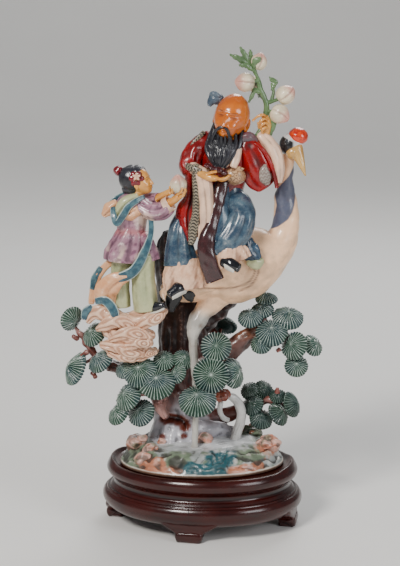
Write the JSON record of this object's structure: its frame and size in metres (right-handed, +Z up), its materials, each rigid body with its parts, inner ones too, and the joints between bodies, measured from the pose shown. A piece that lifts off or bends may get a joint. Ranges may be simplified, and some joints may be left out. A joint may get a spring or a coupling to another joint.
{
  "type": "carved wooden figure group",
  "caption": "Painted wooden carving of a bearded elder riding a crane beside an attendant on a cloud, over a pine with fan-like needle pads, on a two-tier oval stand.",
  "frame": {"origin": "middle of the whole object's footprint box, on the surface its feet stand on", "axes": "+Z up; -Y is the side the picture is taken from, where the attendant is on the left and the crane's head on the right; +X to the right"},
  "size_m": [0.2378, 0.1494, 0.4332],
  "materials": {
    "stand": "dark reddish-brown hardwood, turned and carved, polished",
    "ground": "carved wood painted in grey-green, teal and pale pink, satin",
    "pine_trunk": "carved wood stained dark brown with pale misty parts, satin",
    "pine_needles": "carved wood painted dark green with pale frosted ridges, satin",
    "crane": "carved wood painted warm cream with black neck feathers and a red crown, semi-gloss",
    "elder": "carved wood painted crimson, slate blue, cream and brown, semi-gloss",
    "peach_branch": "carved wood painted pale sage green with cream and pink peaches, semi-gloss",
    "attendant": "carved wood painted mauve, pale green and cream, semi-gloss",
    "lingzhi": "carved wood painted pale grey, satin"
  },
  "bodies": {
    "root": {"stand": "stand", "ground": "ground", "pine_trunk": "pine_trunk", "pine_spray_left": "pine_needles", "pine_spray_front_left": "pine_needles", "pine_spray_front": "pine_needles", "pine_spray_right_upper": "pine_needles", "pine_spray_right_lower": "pine_needles", "pine_spray_back": "pine_needles", "crane": "crane", "elder": "elder", "peach_branch": "peach_branch", "attendant": "attendant", "lingzhi": "lingzhi"}
  },
  "joints": []
}
